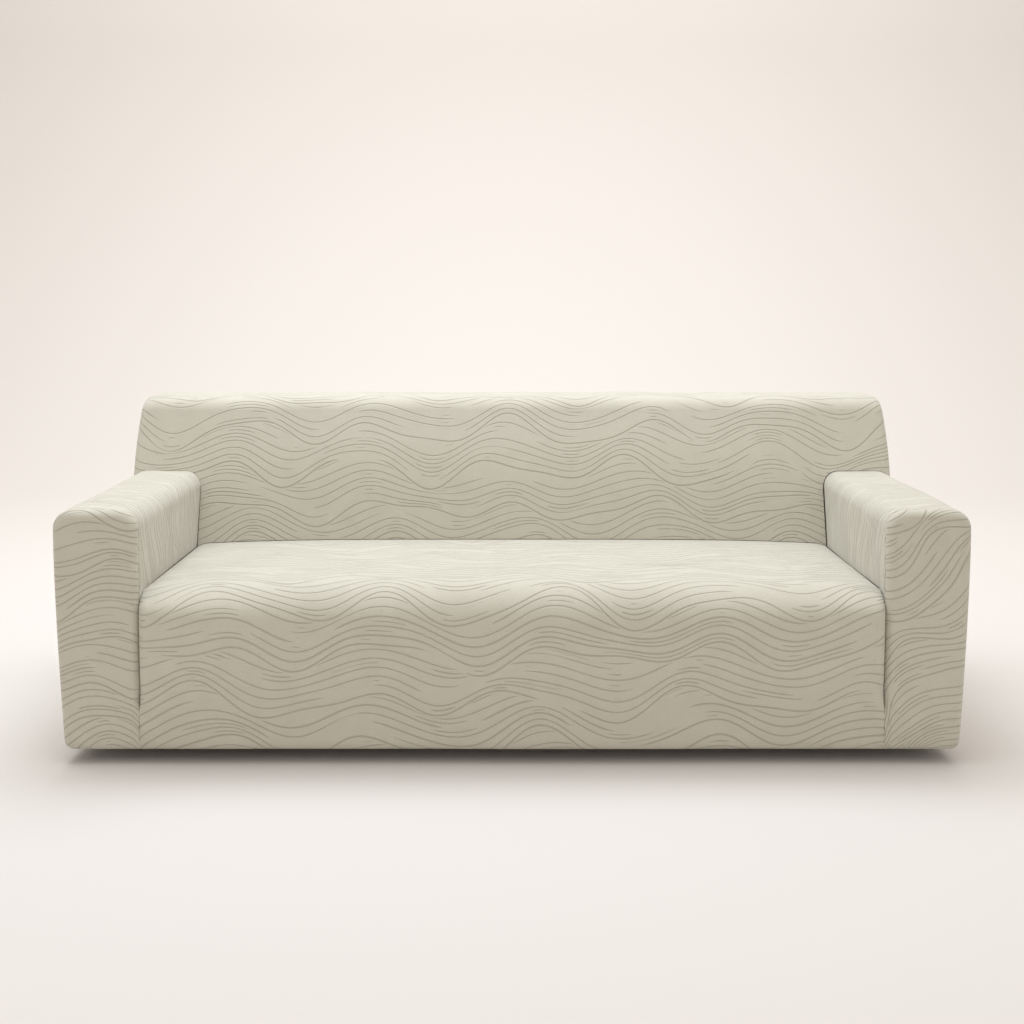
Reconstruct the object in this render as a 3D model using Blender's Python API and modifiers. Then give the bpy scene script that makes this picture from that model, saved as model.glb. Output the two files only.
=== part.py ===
"""Stretch slipcover for a three-seat sofa: nine cut panels sewn edge to edge into one hollow cover.

The cutting frame has x = 0 at the middle of the sofa, y = 0 at the arm fronts and z = 0 at the hem. The part's
own origin is under the cloth at the middle of the backrest's top, where the sofa carries the cover.
"""

import bmesh
import bpy
import numpy as np

# Whole cover
WIDTH = 2.20
HEIGHT = 0.794
REAR_Y = 0.905
CLOTH = 0.0025
SEAM_GAP = 0.0005
LAP_GAP = 0.0022
SEAM_STRIP = 0.006

# Arms
ARM_WIDTH = 0.201
ARM_TOP = 0.584
ARM_ROUND = 0.045
FRONT_ROUND = 0.018

# Bench seat, at its middle and beside the arms
SEAT_TOP = 0.396
SEAT_RISE = 0.006
SEAT_ROLL = 0.090
SEAT_BULGE = 0.014
SEAT_BULGE_TOP_Z = 0.20
EDGE_TOP = 0.384
EDGE_RISE = 0.004
EDGE_ROLL = 0.056
SEAT_SIDE_ROUND = 0.028
ROLL_DOWN = 0.008
ROLL_DOWN_FROM = 0.96

# The crease between seat front and arm front closes between these two heights
CREASE_OPEN_Z = 0.140
CREASE_SHUT_Z = 0.085

# Backrest: RECLINE is depth gained for each metre of height
BACK_FOOT_Y = 0.590
RECLINE = 0.30
TOP_ROLL = 0.055
REAR_ROLL = 0.035
REAR_SEAM_Z = 0.742
END_ROUND = 0.025
TOP_TAPER = 0.015

# The elastic hem draws the cover in
PULL_START_Z = 0.50
PULL = 0.0165
FRONT_PULL = 0.010
TUCK_HEIGHT = 0.020
TUCK = 0.012
TUCK_REACH = 0.12

# Heights of the cross lines in the upright panels, as shares of the panel's straight height
LEVELS = np.array([0, 0.008, 0.022, 0.06, 0.09, 0.11, 0.14, 0.28, 0.40, 0.52]) / 0.539

SIDE_X = WIDTH / 2
ARM_IN_X = SIDE_X - ARM_WIDTH
SEAT_HALF = ARM_IN_X - SEAM_GAP
WRAP_Y = FRONT_ROUND + SEAM_STRIP
LEAN = (1 + RECLINE ** 2) ** 0.5
ROLL_CENTRE_Y = BACK_FOOT_Y + RECLINE * (HEIGHT - TOP_ROLL - SEAT_TOP) + TOP_ROLL * LEAN
SHOULDER_Z = ARM_TOP - ARM_ROUND
END_INSET = END_ROUND + SEAM_STRIP
ORIGIN = np.array([0.0, (ROLL_CENTRE_Y + REAR_Y - REAR_ROLL) / 2, HEIGHT - CLOTH])

CLOTH_COLOUR = (0.56, 0.53, 0.46, 1.0)
CLOTH_ROUGHNESS = 0.92


def ease(t):
    """Smooth step: 0 below 0, 1 above 1, level at both ends."""
    t = np.clip(t, 0.0, 1.0)
    return t * t * (3 - 2 * t)


def quarter(steps, start=0.0, end=90.0):
    """Angles in radians from start to end, both included."""
    return np.radians(np.linspace(start, end, steps + 1))


def mirrored(half):
    """A run of distances from 0 outwards, made symmetric about 0."""
    return np.concatenate([-half[:0:-1], half])


def face_y(z):
    """Depth of the backrest's leaning front face at height z."""
    return BACK_FOOT_Y + RECLINE * (z - SEAT_TOP)


def draw_in(points):
    """Pull the skirt in towards the hem, tuck its last centimetres under and taper the backrest's ends."""
    x, y, z = points[..., 0], points[..., 1], points[..., 2]
    low = np.clip((PULL_START_Z - z) / PULL_START_Z, 0, 1) ** 1.5
    tuck = 1 - np.sqrt(1 - np.clip((TUCK_HEIGHT - z) / TUCK_HEIGHT, 0, 0.96) ** 2)
    high = np.clip((z - ARM_TOP) / (HEIGHT - ARM_TOP), 0, 1) ** 2
    outer = np.clip((np.abs(x) - ARM_IN_X) / ARM_WIDTH, 0, 1)
    front = 1 - ease(y / TUCK_REACH)
    rear = ease((y - REAR_Y + TUCK_REACH) / TUCK_REACH)
    narrower = x - np.sign(x) * outer * (PULL * low + TUCK * tuck + TOP_TAPER * high)
    nearer = y + (front - rear) * (FRONT_PULL * low + TUCK * tuck)
    return np.stack([narrower, nearer, z], axis=-1)


def crease_depth(z):
    """How deep the seam between seat and arm lies behind the arm front at height z."""
    return WRAP_Y * ease((z - CREASE_SHUT_Z) / (CREASE_OPEN_Z - CREASE_SHUT_Z))


def seat_bulge(z):
    """How far the seat's front bellies out at height z, as a depth in front of the arms."""
    return -SEAT_BULGE * ease(z / SEAT_BULGE_TOP_Z)


def seat_profile(top, rise, roll, front):
    """Depth and height from the seat's rear edge, over the front roll, down to the hem; front(z) is its face."""
    run = np.linspace(0, 1, 6)[:-1]
    centre_y = front(top) + roll
    rear_y = face_y(top) - LAP_GAP
    angle = quarter(6, 90, 180)
    drop_z = np.array([0.22, 0.17, 0.14, 0.115, 0.085, 0.055, 0.022, 0.008, 0.0])
    y = np.concatenate([rear_y + run * (centre_y - rear_y), centre_y + roll * np.cos(angle), front(drop_z)])
    z = np.concatenate([top + rise * ease(run), top + rise - roll + roll * np.sin(angle), drop_z])
    return y, z


def seat_edge():
    """The seat's profile beside an arm."""
    return seat_profile(EDGE_TOP, EDGE_RISE, EDGE_ROLL, crease_depth)


def roll_down(x):
    """Extra fall of the seat cushion's rim right beside an arm."""
    return ROLL_DOWN * np.clip((np.abs(x) / SEAT_HALF - ROLL_DOWN_FROM) / (1 - ROLL_DOWN_FROM), 0, 1) ** 2


def seat_height(x):
    """Height of the seat's rear edge: a broad crown that falls away beside the arms."""
    return SEAT_TOP - (SEAT_TOP - EDGE_TOP) * (np.abs(x) / SEAT_HALF) ** 4 - roll_down(x)


def seat_side_height(y):
    """Height of the seat's side edge at depth y, where the inside of the arm ends."""
    edge_y, edge_z = seat_edge()
    shown = edge_z > SEAT_TOP / 2
    return np.interp(y, edge_y[shown][::-1], edge_z[shown][::-1]) - ROLL_DOWN


def seat_columns():
    """Distances from the middle of the lines that run over the seat and on up the backrest."""
    turn_x = SEAT_HALF - SEAT_SIDE_ROUND
    return np.concatenate([np.linspace(0, turn_x, 6)[:-1], turn_x + SEAT_SIDE_ROUND * np.sin(quarter(3))])


def seat_surface():
    """The seat cloth: a loft between the profile beside the arms and the fuller one at the middle."""
    edge_y, edge_z = (values[:, None] for values in seat_edge())
    mid_y, mid_z = (values[:, None] for values in seat_profile(SEAT_TOP, SEAT_RISE, SEAT_ROLL, seat_bulge))
    turn_x = SEAT_HALF - SEAT_SIDE_ROUND
    x = mirrored(seat_columns())
    crown = 1 - (np.abs(x) / SEAT_HALF) ** 4
    corner = np.sqrt(1 - np.clip((np.abs(x) - turn_x) / SEAT_SIDE_ROUND, 0, 1) ** 2)
    front_share = ease((np.arange(len(edge_y)) - 4) / 6)[:, None]
    fall = (1 - front_share) * roll_down(x)
    y = edge_y + ((1 - front_share) * crown + front_share * corner) * (mid_y - edge_y) - RECLINE * fall
    z = edge_z + crown * (mid_z - edge_z) - fall
    return np.stack([np.broadcast_to(x, y.shape), y, z], axis=-1)[::-1]


def arm_outline(inset, foot):
    """The arm seen from the front, inset evenly: up the inside from foot, over the top and down the outside."""
    corner = max(ARM_ROUND - inset, 0.0)
    straight = ARM_TOP - max(ARM_ROUND, inset)
    inner_x, outer_x = ARM_IN_X + inset, SIDE_X - inset
    arc = quarter(4)
    top_x = (inner_x + outer_x) / 2
    x = np.concatenate([np.full(len(LEVELS), inner_x), inner_x + corner * (1 - np.cos(arc)), [top_x],
                        outer_x - corner * (1 - np.sin(arc)), np.full(len(LEVELS), outer_x)])
    z = np.concatenate([foot + (straight - foot) * LEVELS, straight + corner * np.sin(arc), [straight + corner],
                        straight + corner * np.cos(arc), straight * LEVELS[::-1]])
    return x, z


def arm_front_surface():
    """The arm's front panel: even insets of its outline, the first of them turned back over the rounded edge."""
    turn = quarter(3)
    insets = np.concatenate([[0.0], FRONT_ROUND * (1 - np.cos(turn)), [ARM_ROUND, ARM_WIDTH / 2]])
    depths = np.concatenate([[WRAP_Y], FRONT_ROUND * (1 - np.sin(turn)), [0.0, 0.0]])
    rings = []
    for inset, depth in zip(insets, depths):
        x, z = arm_outline(inset, 0.0)
        beside_seat = x < ARM_IN_X + ARM_WIDTH / 2
        open_share = np.where(beside_seat, crease_depth(z) / WRAP_Y, 1.0)
        rings.append(np.stack([x, depth * open_share, z], axis=-1))
    return np.stack(rings[::-1])


def end_inset(x):
    """How far the backrest's surface is set in where it turns round to its end, at distance x."""
    past = np.clip(np.abs(x) - (SIDE_X - END_ROUND), 0, END_ROUND)
    return END_ROUND - np.sqrt(END_ROUND ** 2 - past ** 2)


def arm_surface():
    """Inside, top and outside of an arm: the outline carried back to the leaning face of the backrest."""
    side_seam = face_y(SHOULDER_Z) + END_ROUND * LEAN
    start = WRAP_Y + SEAM_GAP
    stations = []
    for run in (0, 0.02, 0.045, 0.10, 0.50, 1.0):
        x, z = arm_outline(0.0, seat_side_height(start + run * (BACK_FOOT_Y - start)))
        outside = (x > SIDE_X - SEAM_GAP) & (z < SHOULDER_Z + SEAM_GAP)
        end = np.where(outside, side_seam, face_y(z) + end_inset(x) * LEAN) - LAP_GAP
        stations.append(np.stack([x, start + run * (end - start), z], axis=-1))
    return np.stack(stations)


def back_rolls(inset):
    """Depth and height over the backrest's top, from its face to the rear seam, moved inwards by inset."""
    front_arc = quarter(5, 180 - np.degrees(np.arctan(RECLINE)), 90)
    rear_arc = quarter(3, 90, 0)
    rear_centre_y = REAR_Y - REAR_ROLL
    y = np.concatenate([ROLL_CENTRE_Y + (TOP_ROLL - inset) * np.cos(front_arc), [ORIGIN[1]],
                        rear_centre_y + (REAR_ROLL - inset) * np.cos(rear_arc), [REAR_Y - inset]])
    z = np.concatenate([HEIGHT - TOP_ROLL + (TOP_ROLL - inset) * np.sin(front_arc), [HEIGHT - inset],
                        HEIGHT - REAR_ROLL + (REAR_ROLL - inset) * np.sin(rear_arc), [REAR_SEAM_Z]])
    return y, z


def over_arm(x):
    """Height of the arm's rounded top at distance x from the middle."""
    past = np.abs(np.abs(x) - (ARM_IN_X + SIDE_X) / 2) - (ARM_WIDTH / 2 - ARM_ROUND)
    return SHOULDER_Z + np.sqrt(ARM_ROUND ** 2 - np.clip(past, 0, ARM_ROUND) ** 2)


def end_columns():
    """Distances and insets of the backrest's columns where it turns round to its end, with the seam's strip."""
    turn = quarter(4)
    x = np.concatenate([SIDE_X - END_ROUND + END_ROUND * np.sin(turn), [SIDE_X]])
    return x, np.concatenate([END_ROUND * (1 - np.cos(turn)), [END_INSET]])


def back_inside_surface():
    """The backrest's face, top roll and turned ends, and which faces of the grid are cloth."""
    turn_x, turn_inset = end_columns()
    above_arm = ARM_IN_X + ARM_ROUND * (1 - np.cos(quarter(4)))[1:]
    inner = np.concatenate([seat_columns(), above_arm, [SIDE_X - ARM_ROUND]])
    x = mirrored(np.concatenate([inner, turn_x]))
    inset = np.concatenate([turn_inset[::-1], np.zeros(2 * len(inner) - 1), turn_inset])
    columns = []
    for across, deep in zip(x, inset):
        roll_y, roll_z = back_rolls(deep)
        foot = seat_height(min(abs(across), SEAT_HALF)) + LAP_GAP
        shoulder = over_arm(max(abs(across), ARM_IN_X)) + SEAM_GAP
        lower = np.linspace(foot, shoulder, 4)
        upper = np.linspace(shoulder, roll_z[0], 4)[1:-1]
        face_z = np.concatenate([lower, upper])
        columns.append(np.stack([np.full(len(face_z) + len(roll_z), across),
                                 np.concatenate([face_y(face_z) + deep * LEAN, roll_y]),
                                 np.concatenate([face_z, roll_z])], axis=-1))
    between_arms = np.minimum(np.abs(x[:-1]), np.abs(x[1:])) < SEAT_HALF - SEAM_GAP
    is_cloth = np.ones((len(columns[0]) - 1, len(x) - 1), dtype=bool)
    is_cloth[:3] = between_arms
    return np.stack(columns, axis=1), is_cloth


def upright_levels(top):
    """Heights of the cross lines from the hem up to top."""
    return np.concatenate([SHOULDER_Z * LEVELS, [SHOULDER_Z, top]])


def back_outside_surface():
    """The rear panel, flat and upright, turned round both rear corners."""
    turn_x, turn_inset = end_columns()
    x = mirrored(np.concatenate([[0.0, 0.5], turn_x]))
    depth = REAR_Y - np.concatenate([turn_inset[::-1], np.zeros(3), turn_inset])
    z = upright_levels(REAR_SEAM_Z - SEAM_GAP)[::-1]
    grid_x, grid_z = np.meshgrid(x, z)
    return np.stack([grid_x, np.broadcast_to(depth, grid_x.shape), grid_z], axis=-1)


def back_side_surface():
    """The backrest's flat end: a loft between its front seam and its rear seam, closed along the top."""
    seam = END_INSET + SEAM_GAP
    roll_y, roll_z = back_rolls(seam)
    z = upright_levels(roll_z[0])[:-1]
    low_y = face_y(SHOULDER_Z) + END_ROUND * LEAN + SEAM_GAP
    front_y = np.concatenate([np.where(z < SHOULDER_Z, low_y, face_y(z) + seam * LEAN), roll_y[:6]])
    front_z = np.concatenate([z, roll_z[:6]])
    rear_z = np.concatenate([z, np.linspace(z[-1], HEIGHT - REAR_ROLL, 5)[1:-1], roll_z[[9, 8, 7]]])
    rear_y = np.concatenate([np.full(len(z) + 3, REAR_Y - seam), roll_y[[9, 8, 7]]])
    share = np.linspace(0, 1, 4)
    y = front_y[:, None] + share * (rear_y - front_y)[:, None]
    z = front_z[:, None] + share * (rear_z - front_z)[:, None]
    return np.stack([np.full(y.shape, SIDE_X), y, z], axis=-1)


def cloth_material(name):
    """Matt knitted cloth in its own material."""
    material = bpy.data.materials.new(name)
    material.use_nodes = True
    shader = material.node_tree.nodes["Principled BSDF"]
    shader.inputs["Base Color"].default_value = CLOTH_COLOUR
    shader.inputs["Roughness"].default_value = CLOTH_ROUGHNESS
    shader.inputs["Metallic"].default_value = 0.0
    return material


def panel(name, grid, carrier, collection, is_cloth=None, mirror=False):
    """One cut panel: a lofted grid of cloth with its thickness laid on the inner side."""
    points = draw_in(grid)
    if mirror:
        points = points * (-1, 1, 1)
        points = points[:, ::-1]
    rows, columns = points.shape[:2]
    if is_cloth is None:
        is_cloth = np.ones((rows - 1, columns - 1), dtype=bool)
    shape = bmesh.new()
    knots = [[shape.verts.new(points[row, column]) for column in range(columns)] for row in range(rows)]
    for row, column in np.argwhere(is_cloth):
        near, far = knots[row], knots[row + 1]
        shape.faces.new((near[column], near[column + 1], far[column + 1], far[column]))
    loose = [knot for knot in shape.verts if not knot.link_faces]
    bmesh.ops.delete(shape, geom=loose, context="VERTS")
    bmesh.ops.remove_doubles(shape, verts=shape.verts, dist=0.00005)
    bmesh.ops.triangulate(shape, faces=[face for face in shape.faces if len(face.verts) > 4])
    mesh = bpy.data.meshes.new(name)
    shape.to_mesh(mesh)
    shape.free()
    mesh.shade_smooth()
    mesh.materials.append(cloth_material(name + "_cloth"))
    piece = bpy.data.objects.new(name, mesh)
    piece.parent = carrier
    collection.objects.link(piece)
    thickness = piece.modifiers.new("cloth thickness", "SOLIDIFY")
    thickness.thickness = CLOTH
    thickness.offset = -1.0
    thickness.use_even_offset = True
    return piece


def build():
    """Cut and place all the panels, hung from the middle of the backrest's top."""
    for item in list(bpy.data.objects):
        bpy.data.objects.remove(item, do_unlink=True)
    collection = bpy.data.collections.new("sofa_slipcover")
    bpy.context.scene.collection.children.link(collection)
    carrier = bpy.data.objects.new("cutting_frame", None)
    carrier.location = -ORIGIN
    collection.objects.link(carrier)
    back_inside, back_cloth = back_inside_surface()
    panel("seat_panel", seat_surface(), carrier, collection)
    panel("back_inside", back_inside, carrier, collection, is_cloth=back_cloth)
    panel("back_outside", back_outside_surface(), carrier, collection)
    for side, mirror in (("right", False), ("left", True)):
        panel("arm_" + side, arm_surface(), carrier, collection, mirror=mirror)
        panel("arm_front_" + side, arm_front_surface(), carrier, collection, mirror=mirror)
        panel("back_side_" + side, back_side_surface(), carrier, collection, mirror=mirror)


build()
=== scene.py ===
# %% [markdown]
# # A stretch slipcover for a three-seat sofa
#
# The object is the cover alone: nine pieces of stretch jacquard, sewn edge to edge and pulled over a
# sofa that isn't shown. This lesson makes each piece as a surface worked out with numpy: a grid of
# points that follows the cloth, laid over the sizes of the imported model. The pattern is woven into
# one cloth material, which reads the length and width of the cut cloth from each piece's UV map.

import bmesh
import bpy
import numpy as np
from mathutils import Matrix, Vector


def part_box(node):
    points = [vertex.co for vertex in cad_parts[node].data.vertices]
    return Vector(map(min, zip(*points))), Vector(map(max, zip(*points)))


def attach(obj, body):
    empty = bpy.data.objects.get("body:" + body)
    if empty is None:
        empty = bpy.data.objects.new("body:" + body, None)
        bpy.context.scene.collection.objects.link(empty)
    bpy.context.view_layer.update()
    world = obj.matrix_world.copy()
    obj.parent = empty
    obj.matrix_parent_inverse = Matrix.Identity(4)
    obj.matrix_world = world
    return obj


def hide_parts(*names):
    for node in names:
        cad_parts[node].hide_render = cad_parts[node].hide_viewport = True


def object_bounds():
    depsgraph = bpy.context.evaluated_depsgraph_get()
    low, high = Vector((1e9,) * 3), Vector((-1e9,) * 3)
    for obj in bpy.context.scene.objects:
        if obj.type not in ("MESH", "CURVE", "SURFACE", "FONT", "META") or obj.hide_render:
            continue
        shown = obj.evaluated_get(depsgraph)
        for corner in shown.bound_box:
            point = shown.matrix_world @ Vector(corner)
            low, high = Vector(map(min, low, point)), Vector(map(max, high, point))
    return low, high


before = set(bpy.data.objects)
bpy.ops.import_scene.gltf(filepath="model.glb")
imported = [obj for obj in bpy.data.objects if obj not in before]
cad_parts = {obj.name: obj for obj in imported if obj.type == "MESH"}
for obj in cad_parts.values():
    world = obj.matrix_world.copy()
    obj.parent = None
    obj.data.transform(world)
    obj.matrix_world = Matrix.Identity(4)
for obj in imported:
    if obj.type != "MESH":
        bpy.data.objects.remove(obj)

cad_low, cad_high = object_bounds()
print("cover, width x depth x height:", [round(high - low, 3) for low, high in zip(cad_low, cad_high)])

# %% [markdown]
# ## Sizes
#
# The cutting frame has x = 0 at mid sofa, y = 0 at the arm fronts and z = 0 at the hem. The outer
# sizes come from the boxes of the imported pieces. The roundings are the radii that foam and cloth take
# on such a sofa.

# %% Sizes from the frame, then the roundings
HEM = cad_low.z
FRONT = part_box("arm_front_right")[0].y
ORIGIN = np.array([0.0, -FRONT, -HEM])
SIDE_X = cad_high.x
HEIGHT = cad_high.z - HEM
REAR_Y = cad_high.y - FRONT
ARM_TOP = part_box("arm_right")[1].z - HEM
ARM_IN_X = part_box("arm_right")[0].x
ARM_WIDTH = SIDE_X - ARM_IN_X
SEAT_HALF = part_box("seat_panel")[1].x

CLOTH = 0.0022
ARM_ROUND = 0.045
FRONT_ROUND = 0.018
SEAM_STRIP = 0.006
SEAM_GAP = 0.0005
print("arm", round(ARM_WIDTH, 3), "wide and", round(ARM_TOP, 3), "high; seat half", round(SEAT_HALF, 3))

# %% [markdown]
# The seat has a profile at its middle and a lower, tighter one beside the arms. The backrest leans
# back, and the elastic in the hem draws the skirt in.

# %% Seat, backrest and hem
SEAT_TOP, SEAT_RISE, SEAT_ROLL = 0.396, 0.006, 0.090
SEAT_BULGE, SEAT_BULGE_TOP_Z = 0.014, 0.20
EDGE_TOP, EDGE_RISE, EDGE_ROLL = 0.384, 0.004, 0.056
SEAT_SIDE_ROUND = 0.028
ROLL_DOWN, ROLL_DOWN_FROM = 0.008, 0.96
CREASE_OPEN_Z, CREASE_SHUT_Z = 0.140, 0.085

BACK_FOOT_Y, RECLINE = 0.590, 0.30
TOP_ROLL, REAR_ROLL, REAR_SEAM_Z = 0.055, 0.035, 0.742
END_ROUND, TOP_TAPER = 0.025, 0.015

PULL_START_Z, PULL, FRONT_PULL = 0.50, 0.0165, 0.010
TUCK_HEIGHT, TUCK, TUCK_REACH = 0.020, 0.012, 0.12

WRAP_Y = FRONT_ROUND + SEAM_STRIP
LEAN = (1 + RECLINE ** 2) ** 0.5
ROLL_CENTRE_Y = BACK_FOOT_Y + RECLINE * (HEIGHT - TOP_ROLL - SEAT_TOP) + TOP_ROLL * LEAN
SHOULDER_Z = ARM_TOP - ARM_ROUND
END_INSET = END_ROUND + SEAM_STRIP
print("backrest leans", round(float(np.degrees(np.arctan(RECLINE))), 1), "degrees")

# %% [markdown]
# ## Helpers for cloth grids
#
# Every piece is a grid of points. Its lines crowd together at sewn edges, so that the edge can dip
# softly into the seam, and spread out over the open cloth.

# %% Spacing of the grid lines
SEAM_LINES = np.array([0.0, 0.0008, 0.0018, 0.0030, 0.0048, 0.0075])


def ease(t):
    """Smooth step: 0 below 0, 1 above 1, level at both ends."""
    t = np.clip(t, 0.0, 1.0)
    return t * t * (3 - 2 * t)


def spaced(length, step, fine_start=True, fine_end=True):
    """Places from 0 to length, about step apart, with close seam lines at the ends that ask for them."""
    head = SEAM_LINES if fine_start else SEAM_LINES[:1]
    tail = length - (SEAM_LINES if fine_end else SEAM_LINES[:1])[::-1]
    count = max(int(round((tail[0] - head[-1]) / step)), 1)
    return np.concatenate([head[:-1], np.linspace(head[-1], tail[0], count + 1), tail[1:]])


def shares_of(length, step, fine_start=True, fine_end=True):
    """The same places as shares of the length, from 0 to 1."""
    return spaced(length, step, fine_start, fine_end) / length


print("a 0.5 m edge gets", len(spaced(0.5, 0.008)), "lines")

# %% [markdown]
# The hem's elastic pulls all the pieces in together, so the pull is one function of a point's place.
# It narrows the skirt on a curve, tucks the last centimetres under, and tapers the ends of the
# backrest.

# %% Pull of the hem


def draw_in(points):
    """Inward shift: PULL x (share of the way down) to the power 1.5, plus a quarter round at the hem."""
    x, y, z = points[..., 0], points[..., 1], points[..., 2]
    low = np.clip((PULL_START_Z - z) / PULL_START_Z, 0, 1) ** 1.5
    tuck = 1 - np.sqrt(1 - np.clip((TUCK_HEIGHT - z) / TUCK_HEIGHT, 0, 0.96) ** 2)
    high = np.clip((z - ARM_TOP) / (HEIGHT - ARM_TOP), 0, 1) ** 2
    outer = np.clip((np.abs(x) - ARM_IN_X) / ARM_WIDTH, 0, 1)
    front = 1 - ease(y / TUCK_REACH)
    rear = ease((y - REAR_Y + TUCK_REACH) / TUCK_REACH)
    narrower = x - np.sign(x) * outer * (PULL * low + TUCK * tuck + TOP_TAPER * high)
    nearer = y + (front - rear) * (FRONT_PULL * low + TUCK * tuck)
    return np.stack([narrower, nearer, z], axis=-1)


hem_corner = draw_in(np.array([SIDE_X, REAR_Y, 0.0]))
print("each side of the hem is drawn in by", round(float(SIDE_X - hem_corner[0]), 3), "m")

# %% [markdown]
# Soft relief is added along the surface's own normal. The normal of a grid is the cross product of
# its two directions, and gradients of the point arrays give both directions at once.

# %% Normals and relief of a grid


def grid_normals(points):
    """Unit cross product of the column direction and the row direction of a grid of points."""
    along_rows = np.gradient(points, axis=0)
    along_columns = np.gradient(points, axis=1)
    normal = np.cross(along_columns, along_rows)
    size = np.linalg.norm(normal, axis=-1, keepdims=True)
    normal = normal / np.maximum(size, 1e-12)
    return np.where(size > 1e-9, normal, np.roll(normal, -1, axis=0))


def raised(points, height):
    """The grid moved out along its normals by height, metres at each point."""
    return points + grid_normals(points) * height[..., None]


flat_grid = np.array([[[0.0, 0.0, 0.0], [1.0, 0.0, 0.0]], [[0.0, 0.0, 1.0], [1.0, 0.0, 1.0]]])
print("an upright grid seen from the front faces", grid_normals(flat_grid)[0, 0])

# %% [markdown]
# ## The seat cloth
#
# On the real cover one cloth runs from the backrest over the front roll down to the hem. It could be
# draped by a simulation, but a cover that is stretched tight over foam simply takes the foam's form.
# So it is a loft between two profiles: the full one at mid seat, and the one in the crease beside the
# arm.

# %% Profile of the seat


def crease_depth(z):
    """Depth of the crease beside the arm: full above CREASE_OPEN_Z, easing to nothing at CREASE_SHUT_Z."""
    return WRAP_Y * ease((z - CREASE_SHUT_Z) / (CREASE_OPEN_Z - CREASE_SHUT_Z))


def seat_bulge(z):
    """Belly of the seat's front: SEAT_BULGE forward, easing to nothing at the hem."""
    return -SEAT_BULGE * ease(z / SEAT_BULGE_TOP_Z)


def face_y(z):
    """Depth of the backrest's leaning face: RECLINE metres back for each metre up."""
    return BACK_FOOT_Y + RECLINE * (z - SEAT_TOP)


def seat_profile(stations, top, rise, roll, front):
    """Depth and height at station numbers: 0 to 1 is the top, 1 to 2 the quarter round, 2 to 3 the drop."""
    run = np.clip(stations, 0, 1)
    angle = np.radians(90 + 90 * np.clip(stations - 1, 0, 1))
    drop = np.clip(stations - 2, 0, 1)
    centre_y = front(top) + roll
    rear_y = face_y(top) - SEAM_GAP
    foot_z = top + rise - roll
    on_top = rear_y + run * (centre_y - rear_y), top + rise * ease(run)
    on_roll = centre_y + roll * np.cos(angle), foot_z + roll * np.sin(angle)
    on_drop = front(foot_z * (1 - drop)), foot_z * (1 - drop)
    part = [stations < 1, stations <= 2]
    return tuple(np.select(part, [a, b], c) for a, b, c in zip(on_top, on_roll, on_drop))


def roll_down(x):
    """Fall of the cushion's rim beside an arm: a parabola over the last few centimetres."""
    return ROLL_DOWN * np.clip((np.abs(x) / SEAT_HALF - ROLL_DOWN_FROM) / (1 - ROLL_DOWN_FROM), 0, 1) ** 2


def seat_height(x):
    """Rear edge of the seat: SEAT_TOP less a fourth-power fall towards the arms and the rim's own fall."""
    return SEAT_TOP - (SEAT_TOP - EDGE_TOP) * (np.abs(x) / SEAT_HALF) ** 4 - roll_down(x)


TOP_RUN, DROP_RUN, SEAT_STEP = 0.5, 0.31, 0.009
STATIONS = np.concatenate([shares_of(TOP_RUN, SEAT_STEP, fine_end=False), 1 + np.linspace(0, 1, 22)[1:],
                           2 + shares_of(DROP_RUN, SEAT_STEP, fine_start=False)[1:]])
print("the seat has", len(STATIONS), "lines from back to hem")

# %% [markdown]
# Beside the arm the front turns back into the crease on a quarter round. The map of the cloth counts
# its width along that turn and its length along the middle profile, so that the pattern isn't
# stretched.

# %% Surface of the seat


def seat_columns():
    """Distances from the middle over half the seat, the last round the turn, and their lengths of cloth."""
    turn_x = SEAT_HALF - SEAT_SIDE_ROUND
    turn = np.concatenate([np.linspace(0, 1, 10)[:-1] * np.radians(80), np.radians([80, 83, 86, 88, 90])])
    flat = np.linspace(0, turn_x, 98)[:-1]
    return (np.concatenate([flat, turn_x + SEAT_SIDE_ROUND * np.sin(turn)]),
            np.concatenate([flat, turn_x + SEAT_SIDE_ROUND * turn]))


def mirrored(half):
    """A run of distances from 0 outwards, made symmetric about 0."""
    return np.concatenate([-half[:0:-1], half])


def length_along(y, z):
    """Running length of a polyline from its first point."""
    return np.concatenate([[0.0], np.cumsum(np.hypot(np.diff(y), np.diff(z)))])


def seat_surface():
    """Loft: edge profile + share x (middle - edge profile); the share is a crown on top, a turn in front."""
    edge_y, edge_z = seat_profile(STATIONS, EDGE_TOP, EDGE_RISE, EDGE_ROLL, crease_depth)
    mid_y, mid_z = seat_profile(STATIONS, SEAT_TOP, SEAT_RISE, SEAT_ROLL, seat_bulge)
    half_x, half_cloth = seat_columns()
    x = mirrored(half_x)
    crown = 1 - (np.abs(x) / SEAT_HALF) ** 4
    turn_x = SEAT_HALF - SEAT_SIDE_ROUND
    corner = np.sqrt(1 - np.clip((np.abs(x) - turn_x) / SEAT_SIDE_ROUND, 0, 1) ** 2)
    # The turn sets in over the last fifth of the top and is complete five sixths of the way round the roll.
    progress = np.where(STATIONS < 1, 5 * STATIONS, 5 + 6 * (STATIONS - 1))
    front_share = ease((progress - 4) / 6)[:, None]
    fall = (1 - front_share) * roll_down(x)
    y = edge_y[:, None] + ((1 - front_share) * crown + front_share * corner) * (mid_y - edge_y)[:, None]
    z = edge_z[:, None] + crown * (mid_z - edge_z)[:, None] - fall
    meet = np.sign(x) * (np.abs(x) > SEAT_HALF - SEAM_GAP) * SEAM_GAP * (1 - crease_depth(z) / WRAP_Y)
    points = np.stack([x + meet, y - RECLINE * fall, z], axis=-1)
    up = length_along(mid_y, mid_z)
    cloth = np.stack(np.broadcast_arrays(mirrored(half_cloth), (up[-1] - up)[:, None]), axis=-1)
    return points[::-1], cloth[::-1]


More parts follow.
